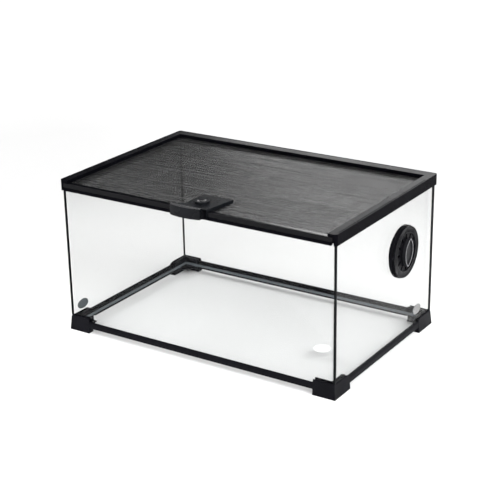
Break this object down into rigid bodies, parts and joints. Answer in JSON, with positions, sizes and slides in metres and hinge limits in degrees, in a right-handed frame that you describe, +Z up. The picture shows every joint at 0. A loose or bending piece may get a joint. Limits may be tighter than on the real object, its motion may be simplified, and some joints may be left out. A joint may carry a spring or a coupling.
{
  "type": "reptile terrarium",
  "caption": "Small framed glass terrarium for reptiles with a sliding mesh lid, a turning lock on the lid's latch and a round vent in the side wall.",
  "frame": {"origin": "on the surface that the feet stand on, under the middle of the whole object's box", "axes": "+X to the right along the tank's width, +Y from the latch at the front to the back, +Z up"},
  "size_m": [0.3162, 0.208, 0.1615],
  "materials": {
    "glass": "clear float glass with polished edges",
    "silicone": "black silicone, satin",
    "base_plastic": "black moulded plastic, satin gloss",
    "rail_plastic": "black extruded plastic, satin top and glossy sides",
    "lid_plastic": "black extruded plastic, satin gloss",
    "latch_plastic": "black moulded plastic, satin",
    "screen": "black woven mesh",
    "lock_metal": "polished",
    "steel": "zinc plated",
    "vent_plastic": "black moulded plastic, satin",
    "knob_plastic": "dark grey moulded plastic with a bright rim",
    "gasket": "black rubber",
    "badge": "silver face on a dark base, bare",
    "badge_back": "dark blue-grey back, bare",
    "label": "plain white"
  },
  "bodies": {
    "tank": {"glass_bottom": "glass", "glass_front": "glass", "glass_back": "glass", "glass_left": "glass", "glass_right": "glass", "seam_front_left": "silicone", "seam_front_right": "silicone", "seam_back_left": "silicone", "seam_back_right": "silicone", "base_trim_front": "base_plastic", "base_trim_back": "base_plastic", "base_trim_left": "base_plastic", "base_trim_right": "base_plastic", "foot_front_left": "base_plastic", "foot_front_right": "base_plastic", "foot_back_left": "base_plastic", "foot_back_right": "base_plastic", "top_rail_left": "rail_plastic", "top_rail_right": "rail_plastic", "top_rail_back": "rail_plastic", "front_sill": "rail_plastic", "top_corner_left": "rail_plastic", "top_corner_right": "rail_plastic", "end_cap_left": "rail_plastic", "end_cap_right": "rail_plastic", "lock_striker": "rail_plastic", "vent_screen": "screen", "vent_body": "vent_plastic", "vent_face": "vent_plastic", "vent_gasket": "gasket", "badge_right": "badge", "badge_left": "badge_back", "floor_label": "label"},
    "lid": {"lid_bar_left": "lid_plastic", "lid_bar_right": "lid_plastic", "lid_bar_back": "lid_plastic", "lid_bar_front": "lid_plastic", "lid_mesh": "screen", "mesh_strip_left": "lid_plastic", "mesh_strip_right": "lid_plastic", "mesh_strip_back": "lid_plastic", "mesh_strip_front": "lid_plastic", "latch_plate": "latch_plastic", "latch_grip": "latch_plastic", "latch_backing": "steel", "latch_screws": "steel"},
    "lock": {"lock_barrel": "lock_metal", "lock_cam": "steel", "lock_cam_screw": "steel"},
    "vent_dial": {"vent_shutter": "vent_plastic", "vent_knob": "knob_plastic", "vent_screw": "steel"}
  },
  "joints": [
    {"name": "lid_slide", "type": "slide", "parent": "tank", "child": "lid", "axis": [0, -1, 0], "range_m": [0, 0.17]},
    {"name": "lock_turn", "type": "hinge", "parent": "lid", "child": "lock", "pos_m": [0.0014, -0.0835, 0.158], "axis": [0, 0, 1], "range_deg": [-90, 0]},
    {"name": "vent_turn", "type": "hinge", "parent": "tank", "child": "vent_dial", "pos_m": [0.1529, 0.033, 0.1016], "axis": [1, 0, 0], "range_deg": [0, 15]}
  ]
}
